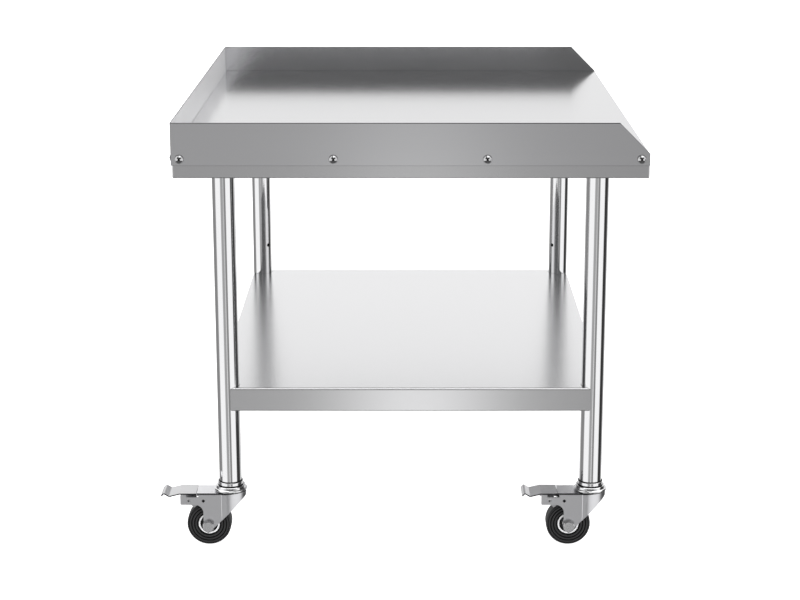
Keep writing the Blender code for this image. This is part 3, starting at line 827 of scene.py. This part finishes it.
def fork_side():
    """The fork's side in (x, z): ears, neck, the lobe round the axle and a rear edge at 45 degrees,
    which meets the lobe at its tangent. It reaches above the top plate, which the plan cuts."""
    axle = (-TRAIL, WHEEL_RADIUS)
    front = FRONT_CENTRE_X + FRONT_LENGTH + 2 * MM
    over = FORK_TOP + FORK_SHEET
    lean = TOP_PLATE_EDGE_X - TOP_PLATE_END_X
    neck_angle = math.degrees(math.acos((FORK_NECK_X + TRAIL) / LOBE_RADIUS))
    fillet_centre = (FORK_NECK_X - FORK_FILLET, EAR_BOTTOM - FORK_FILLET)
    under = FORK_TOP - FORK_SHEET
    return [
        Vector((front, over)),
        Vector((TOP_PLATE_EDGE_X + lean, over)),
        Vector((TOP_PLATE_END_X, under)),
        Vector((EAR_STEP_END_X, under)),
        Vector((EAR_STEP_END_X, EAR_STEP_Z)),
        Vector((EAR_STEP_X, EAR_STEP_Z)),
        Vector((EAR_STEP_X, EAR_TOP)),
        *arc((EAR_END_X + CORNER, EAR_TOP - CORNER), CORNER, 90, 180, 4),
        *arc((EAR_END_X + CORNER, EAR_BOTTOM + CORNER), CORNER, 180, 270, 4),
        *arc(fillet_centre, FORK_FILLET, 90, 0, 10),
        *arc(axle, LOBE_RADIUS, neck_angle, 315, 22),
        Vector((front, FORK_CUT + front)),
    ]


def fork_plan(inset, rear):
    """The fork from above, moved in by inset: straight sides back to rear, and a narrowing front
    that is a little wider than the sides, with a crease where it meets them."""
    half_width = FORK_HALF_WIDTH - inset
    length, breadth = FRONT_LENGTH - inset, FRONT_HALF_WIDTH - inset
    power = 2 / FRONT_FULLNESS
    front = []
    for point in arc((0, 0), 1, -90, 90, 56):
        along = max(0, point.x) ** power
        aside = math.copysign(abs(point.y) ** power, point.y)
        front.append(Vector((FRONT_CENTRE_X + length * along, breadth * aside)))
    side = [(CREASE_X, breadth), (CREASE_X - CREASE_LENGTH, half_width), (rear, half_width)]
    left = [Vector(point) for point in side]
    return [*front, *left, *[Vector((x, -y)) for x, y in reversed(side)]]


def fork_hull(wall, low, top, bend, rear):
    """A solid of the fork's plan whose top edge is rounded."""
    levels = [(wall, low)]
    levels += [(wall + point.x, point.y) for point in arc((bend, top - bend), bend, 180, 90, 6)]
    return loft([[(p.x, p.y, z) for p in fork_plan(inset, rear)] for inset, z in levels])


def fork_mesh():
    """One pressed plate: rounded front and sides, hollow from below and open between the ears."""
    inner_half_width = FORK_HALF_WIDTH - FORK_SHEET
    reach = 2 * FORK_HALF_WIDTH
    rear = EAR_END_X - CORNER
    inner_bend = FORK_BEND - FORK_SHEET
    axle_hole = pin_cutter((-TRAIL, WHEEL_RADIUS), "Y", BOLT_RADIUS + GAP, -reach, reach)
    pin_hole = pin_cutter((PIN_X, PIN_Z), "Y", PIN_RADIUS + GAP, -reach, reach)
    ear_opening = box(
        (2 * EAR_END_X, -inner_half_width, PIN_Z),
        (EAR_STEP_X + CORNER, inner_half_width, 2 * FORK_TOP),
    )
    stem_hole = pin_cutter((0, 0), "Z", STEM_RADIUS + 2 * GAP, PIN_Z, 2 * FORK_TOP)
    steps = ((1, 0), (0, 1), (-1, 0), (0, -1))
    diamond = [(VENT_X + VENT_REACH * x, VENT_Z + VENT_REACH * z) for x, z in steps]
    vent_hole = prism(rounded(diamond, 0.8 * MM, 3), "Y", -reach, reach)
    # Painted shade: the walls of the vent hole are dark.
    vent_hole.materials.append(FINISHES["fork_zinc"])
    vent_hole.materials.append(FINISHES["painted_shade_steel"])
    for face in vent_hole.polygons:
        face.material_index = 1
    hull = fork_hull(0, -CORNER, FORK_TOP, FORK_BEND, rear)
    # Painted shade: a dark band along the fold round the top.
    hull = dressed(hull, "fork_zinc", "painted_shade_steel", lambda n, c: 0.25 < n.z < 0.97, 0)
    top = FORK_TOP - FORK_SHEET
    hollow = fork_hull(FORK_SHEET, -2 * CORNER, top, inner_bend, 2 * EAR_END_X)
    return boolean(
        hull,
        [
            ("INTERSECT", prism(fork_side(), "Y", -reach, reach)),
            ("DIFFERENCE", hollow),
            ("DIFFERENCE", ear_opening),
            ("DIFFERENCE", stem_hole),
            ("DIFFERENCE", joined([axle_hole, pin_hole, vent_hole])),
        ],
    )


def mirrored_profile(half):
    """A profile about z = 0 from its upper half."""
    return [*half, *[(radius, -z) for radius, z in reversed(half)]]


def tyre_mesh():
    """The tyre: a crowned tread, round shoulders, and ribs round each side down to the rim."""
    side = WHEEL_HALF_WIDTH - 0.9 * MM
    groove = side - 1 * MM
    half = [(RIM_RADIUS + GAP, groove - 0.6 * MM), (RIM_RADIUS + 1 * MM, groove)]
    ribs = 3
    rib_height = 1.8 * MM
    rib_shape = ((0.12, 0), (0.2, 0.75), (0.3, 1), (0.7, 1), (0.8, 0.75), (0.88, 0))
    start, end = RIM_RADIUS + 1.8 * MM, WHEEL_RADIUS - 3 * MM
    pitch = (end - start) / ribs
    for rib in range(ribs):
        base = start + rib * pitch
        for share, height in rib_shape:
            half.append((base + share * pitch, groove + height * rib_height))
    shoulder = 3.2 * MM
    centre = (WHEEL_RADIUS - shoulder - 0.1 * MM, side - shoulder + 0.6 * MM)
    half += [(point.x, point.y) for point in arc(centre, shoulder, 80, 8, 8)]
    half.append((WHEEL_RADIUS, 0.4 * WHEEL_HALF_WIDTH))
    mesh = turned(mirrored_profile(half), SMOOTH, closed=True)
    crest = groove + 0.7 * rib_height
    # Painted shade: the faces below the ribs' crests are darker.
    return dressed(
        mesh,
        "tyre_rubber",
        "groove_painted_shade",
        lambda n, c: abs(c.z) < crest and start - 2 * MM < c.xy.length < end + 0.2 * MM,
        0,
    )


def hub_mesh():
    """The hub: a bright rim for the tyre, a dark web and a boss to each side."""
    boss = FORK_HALF_WIDTH - FORK_SHEET - GAP
    rim = WHEEL_HALF_WIDTH - 1.4 * MM
    web = rim - 7 * MM
    boss_radius = BOLT_RADIUS + 3.5 * MM
    rim_inside = RIM_RADIUS - 3.2 * MM
    soft = 0.5 * MM
    half = [
        (BOLT_RADIUS + GAP, boss),
        (boss_radius - soft, boss),
        (boss_radius, boss - soft),
        (boss_radius, web + soft),
        (boss_radius + soft, web),
        (rim_inside - soft, web),
        (rim_inside, web + soft),
        (rim_inside + 0.3 * MM, rim - soft),
        (rim_inside + 0.3 * MM + soft, rim),
        (RIM_RADIUS - soft, rim),
        (RIM_RADIUS, rim - soft),
    ]
    mesh = turned(mirrored_profile(half), SMOOTH, closed=True)
    return dressed(
        mesh,
        "hub_plastic",
        "hub_web",
        lambda n, c: abs(c.z) < rim - 0.8 * MM and c.xy.length > BOLT_RADIUS + 1 * MM,
        0,
    )


def axle_bolt_mesh():
    """The axle bolt across both sides of the fork, with its hexagon head and nut. Cones take
    their corners off."""
    face = FORK_HALF_WIDTH + GAP
    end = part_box("front_left_axle_bolt")[1].y - middle("front_left_axle_bolt").y
    disc = 0.81 * NUT_CORNER  # the flat end of the head and of the nut
    cone_radius = 1.4 * NUT_CORNER
    cone_base = end - (cone_radius - disc) * math.tan(math.radians(28))
    parts = []
    for side in (-1, 1):
        hexagon = turned([(NUT_CORNER, side * face), (NUT_CORNER, side * end)], 6)
        cone = [
            (cone_radius, side * (face - 1 * MM)),
            (cone_radius, side * cone_base),
            (disc, side * end),
        ]
        parts.append(boolean(hexagon, [("INTERSECT", turned(cone, MEDIUM))]))
    shaft = turned([(BOLT_RADIUS, -face - 1 * MM), (BOLT_RADIUS, face + 1 * MM)], FEW)
    return boolean(shaft, [("UNION", joined(parts))])


def pedal_mesh():
    """The pedal about its pin: a bent tread plate, and below it a cam whose nose stops just short
    of the tyre."""
    pin = Vector((PIN_X, PIN_Z))
    low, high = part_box("front_left_brake_pedal")
    half_width = (high.y - low.y) / 2
    line = [
        Vector((PEDAL_BACK_X, PEDAL_TOP)),
        Vector((PEDAL_BEND_X, PEDAL_TOP)),
        PEDAL_VALLEY,
        PEDAL_CREST,
        PEDAL_TIP,
    ]
    line = rounded([point - pin for point in line], 3.2 * MM, 5, closed=False)
    nose = (Vector((-TRAIL, WHEEL_RADIUS)) - pin).normalized() * CAM_REACH
    nose_side = Vector((nose.y, -nose.x)).normalized() * CAM_NOSE
    web_top = PEDAL_TOP - PEDAL_SHEET / 2 - PIN_Z
    cam = [
        Vector((CAM_RADIUS, web_top)),
        Vector((-CAM_RADIUS, web_top)),
        *arc((0, 0), CAM_RADIUS, 180, 262, 10),
        nose + nose_side,
        nose - nose_side,
        Vector((CAM_RADIUS, 0)),
    ]
    hole = pin_cutter((0, 0), "Y", PIN_RADIUS + GAP, -2 * half_width, 2 * half_width)
    plate = prism(bent_strip(line, PEDAL_SHEET), "Y", -half_width, half_width)
    # Painted shade: the plate's two sides are dark.
    plate = dressed(plate, "pedal_zinc", "painted_shade_steel", lambda n, c: abs(n.y) > 0.9, EDGE)
    return boolean(
        plate,
        [
            ("UNION", prism(cam, "Y", -CAM_HALF_WIDTH, CAM_HALF_WIDTH)),
            ("DIFFERENCE", hole),
        ],
    )


def brake_pin_mesh():
    """A pin with rounded ends, each with the small dimple of its lathe centre."""
    low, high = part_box("front_left_brake_pin")
    end = (high.y - low.y) / 2
    soft = 0.2 * MM
    dimple_depth = 2 * MM
    half = [
        (0.6 * MM, end - dimple_depth),
        (1.7 * MM, end),
        (PIN_RADIUS - soft, end),
        (PIN_RADIUS, end - soft),
    ]
    mesh = turned(list(reversed(mirrored_profile(half))), FEW)
    # Painted shade: the dimples are dark.
    return dressed(
        mesh,
        "axle_zinc",
        "painted_shade_steel",
        lambda n, c: abs(c.z) > end - 0.95 * dimple_depth and c.xy.length < 1.3 * MM,
        0,
    )


def make_shade_rings():
    """The dark rings of painted shade above and below a collar and below a bearing cup, by name."""
    cup_low, cup_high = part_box("front_left_bearing_cup")
    collar = radius_of("front_left_caster_stem")
    collar_low = cup_high.z + GAP
    collar_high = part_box("front_left_leg")[0].z - GAP
    rings = {
        "upper_shade_ring": (collar_high - COLLAR_SHADE_RING, collar_high, INSERT_RADIUS, collar - 0.8 * MM),
        "lower_shade_ring": (collar_low, collar_low + COLLAR_SHADE_RING, STEM_RADIUS, collar + GAP),
        "cup_shade_ring": (cup_low.z - GAP / 2, cup_low.z + 1 * MM, CUP_SHADE_RING_BORE, CUP_SHADE_RING_RADIUS),
    }
    return {name: shade_ring_mesh(*values) for name, values in rings.items()}


def make_casters():
    low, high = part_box("front_left_caster_stem")
    stem, cup, fork = stem_mesh(low.z, high.z), cup_mesh(), fork_mesh()
    tyre, hub, bolt = tyre_mesh(), hub_mesh(), axle_bolt_mesh()
    pedal, pin = pedal_mesh(), brake_pin_mesh()
    shade_rings = make_shade_rings()
    for corner in CORNERS:
        axis = leg_axis(corner)
        turn = rest_turn(corner)
        upright, across = (0, 0, turn), (-90, 0, turn)
        swivelled = Matrix.Rotation(math.radians(turn), 3, "Z")
        axle = axis + swivelled @ Vector((-TRAIL, 0, WHEEL_RADIUS))
        hinge = axis + swivelled @ Vector((PIN_X, 0, PIN_Z))
        swivel, wheel, brake = f"{corner}_swivel_fork", f"{corner}_wheel", f"{corner}_brake"
        level = (0, 0, 0)
        fitted = [
            ("stem", stem, "caster_chrome", "table", "caster_stem", axis, level),
            ("cup", cup, "caster_chrome", "table", "bearing_cup", axis, level),
        ]
        # The rings of painted shade ride with the table.
        for name, mesh in shade_rings.items():
            fitted.append((name, mesh, "painted_shade_ring", "table", None, axis, level))
        fitted += [
            ("fork_plate", fork, "fork_zinc", swivel, "fork", axis, upright),
            ("axle_nut", bolt, "axle_zinc", swivel, "axle_bolt", axle, across),
            ("hinge_pin", pin, "axle_zinc", swivel, "brake_pin", hinge, across),
            ("tyre_ribbed", tyre, "tyre_rubber", wheel, "tyre", axle, across),
            ("hub_moulding", hub, "hub_plastic", wheel, "hub", axle, across),
            ("pedal_plate", pedal, "pedal_zinc", brake, "brake_pedal", hinge, upright),
        ]
        for name, mesh, slot, body, node, place, tilt in fitted:
            stands_for = f"{corner}_{node}" if node else None
            edge = EDGE if name == "fork_plate" else 0
            piece(f"{corner}_{name}", mesh.copy(), slot, body, stands_for, place, tilt, edge)


# What stays from the CAD model


def finish_cad_nodes():
    """Channels and sockets keep their CAD shape, with rounded edges and a finish."""
    for name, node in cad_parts.items():
        ends = {"_channel": "channel_steel", "_leg_socket": "socket_steel"}
        for end, slot in ends.items():
            if not name.endswith(end):
                continue
            node.data.materials.clear()
            node.data.materials.append(FINISHES[slot])
            bevel = node.modifiers.new("edges", "BEVEL")
            bevel.width = EDGE
            bevel.segments = 2
            bevel.limit_method = "ANGLE"
            bevel.angle_limit = math.radians(BEVEL_ANGLE)


# The room


def make_floor():
    made, nodes, shader = shader_material("floor_paint")
    cloud = nodes.noise(nodes.stretched((1.5,) * 3), 1, 2)
    nodes.feed(shader.inputs["Base Color"], tinted(nodes, (0.9, 0.9, 0.9), cloud, 0.01))
    shader.inputs["Roughness"].default_value = 0.9
    shader.inputs["Emission Color"].default_value = (1, 1, 1, 1)
    shader.inputs["Emission Strength"].default_value = 1
    reach = 40
    mesh = bpy.data.meshes.new("floor")
    corners = [(-reach, -reach, 0), (reach, -reach, 0), (reach, reach, 0), (-reach, reach, 0)]
    mesh.from_pydata(corners, [], [(0, 1, 2, 3)])
    mesh.materials.append(made)
    floor = bpy.data.objects.new("studio_floor", mesh)
    bpy.context.scene.collection.objects.link(floor)
    floor.visible_glossy = False  # the steel mirrors the studio's panels instead


# Brightness of the studio's panels by azimuth in degrees: 0 is behind the camera, 90 is at +X.
# Between two stops the brightness changes evenly.
LOW_PANELS = [
    (-180, 0.72), (-140, 0.72), (-134, 0.24), (-88, 0.28), (-80, 1.02), (-30, 1.02),
    (-24, 0.39), (-2, 0.39), (4, 0.37), (10, 0.36), (14, 0.22), (20, 0.22), (27, 1.02), (71, 1.02),
    (79, 0.03), (120, 0.06), (129, 0.72), (180, 0.72),
]
HIGH_PANELS = [
    (-180, 0.94), (-140, 0.94), (-128, 0.06), (-95, 0.06), (-80, 0.9), (-60, 0.9),
    (-40, 0.12), (40, 0.12), (60, 0.9), (80, 0.9), (95, 0.06), (128, 0.06),
    (140, 0.94), (180, 0.94),
]
BRIGHTEST = 2.0
GLOW = 0.72  # an oval light low down in front, which the near sheets show as a soft bright patch
GLOW_AZIMUTH, GLOW_HEIGHT = 0.3, -21
GLOW_HALF_WIDTH, GLOW_HALF_HEIGHT = 4.2, 18
CARD = 0.1  # a dark card high in front, for the round heads to show
CARD_AZIMUTH, CARD_HALF_WIDTH, CARD_BLUR = -32, 15, 8
CARD_FOOT, CARD_TOP, CARD_EDGE = 26, 60, 6
CEILING = 1.6
GROUND = 0.12


def panel_ramp(nodes, turn, stops):
    """The brightness round the room, from a ramp over the azimuth as 0 to 1."""
    ramp_node = nodes.add("ValToRGB", {"Fac": turn})
    ramp = ramp_node.color_ramp
    for number, (azimuth, level) in enumerate(stops):
        place = azimuth / 360 + 0.5
        if number < 2:
            stop = ramp.elements[number]
            stop.position = place
        else:
            stop = ramp.elements.new(place)
        stop.color = [level / BRIGHTEST] * 3 + [1]
    return nodes.math("MULTIPLY", ramp_node.outputs["Color"], BRIGHTEST)


def make_studio():
    """Soft panels round the object, and plain white for what the camera sees directly."""
    world = bpy.data.worlds.new("studio")
    bpy.context.scene.world = world
    world.use_nodes = True
    world.node_tree.nodes.clear()
    nodes = Nodes(world.node_tree)
    direction = nodes.add("TexCoord").outputs["Generated"]
    x, y, z = nodes.add("SeparateXYZ", {"Vector": direction}).outputs
    azimuth = nodes.math("ARCTAN2", x, nodes.math("MULTIPLY", y, -1))
    turn = nodes.math("MULTIPLY_ADD", azimuth, 1 / (2 * math.pi), 0.5)
    height = nodes.math("MULTIPLY", nodes.math("ARCSINE", z), 180 / math.pi)

    def blend(factor, low, high):
        mix = nodes.add("Mix", data_type="FLOAT")
        for number, value in ((0, factor), (2, low), (3, high)):
            nodes.feed(mix.inputs[number], value)
        return mix.outputs[0]

    low = panel_ramp(nodes, turn, LOW_PANELS)
    high = panel_ramp(nodes, turn, HIGH_PANELS)
    level = blend(nodes.range(height, -4, 3, 0, 1, True), low, high)
    level = blend(nodes.range(height, 36, 46, 0, 1, True), level, CEILING)
    level = blend(nodes.range(height, -27, -34, 0, 1, True), level, GROUND)
    sideways = nodes.math("ABSOLUTE", nodes.math("SUBTRACT", azimuth, math.radians(CARD_AZIMUTH)))
    inner, outer = math.radians(CARD_HALF_WIDTH), math.radians(CARD_HALF_WIDTH + CARD_BLUR)
    across = nodes.range(sideways, inner, outer, 1, 0, True)
    under = nodes.range(height, CARD_TOP, CARD_TOP + CARD_EDGE, 1, 0, True)
    over = nodes.range(height, CARD_FOOT - CARD_EDGE, CARD_FOOT, 0, 1, True)
    card = nodes.math("MULTIPLY", nodes.math("MULTIPLY", across, under), over)
    level = blend(card, level, CARD)
    width, tall = GLOW_HALF_WIDTH, GLOW_HALF_HEIGHT
    aside = nodes.math("MULTIPLY_ADD", azimuth, 180 / math.pi / width, -GLOW_AZIMUTH / width)
    above = nodes.math("MULTIPLY_ADD", height, 1 / tall, -GLOW_HEIGHT / tall)
    squares = [nodes.math("POWER", part, 2) for part in (aside, above)]
    distance = nodes.math("SQRT", nodes.math("ADD", *squares))
    level = nodes.math("ADD", level, nodes.range(distance, 0, 1, GLOW, 0, True))
    seen = nodes.add("LightPath").outputs["Is Camera Ray"]
    strength = blend(seen, level, 1.0)
    background = nodes.add("Background", {"Color": (1, 1, 1, 1), "Strength": strength})
    output = nodes.add("OutputWorld")
    nodes.feed(output.inputs["Surface"], background.outputs[0])


def make_camera():
    """A long lens beyond the left end, higher than the table and looking a little down on it."""
    camera = bpy.data.cameras.new("camera")
    camera.lens = 83.67
    camera.shift_x = -0.0115
    camera.shift_y = -0.045
    made = bpy.data.objects.new("camera", camera)
    made.location = (TABLE_X - 2 * MM, -3359 * MM, 1243 * MM)
    made.rotation_euler = (math.radians(90 - 14.18), 0, 0)
    bpy.context.scene.collection.objects.link(made)
    bpy.context.scene.camera = made


make_worktop()
make_guards()
make_guard_screws()
make_undershelf()
make_legs()
make_casters()
finish_cad_nodes()
make_floor()
make_studio()
make_camera()
bpy.context.scene.view_settings.view_transform = "Standard"
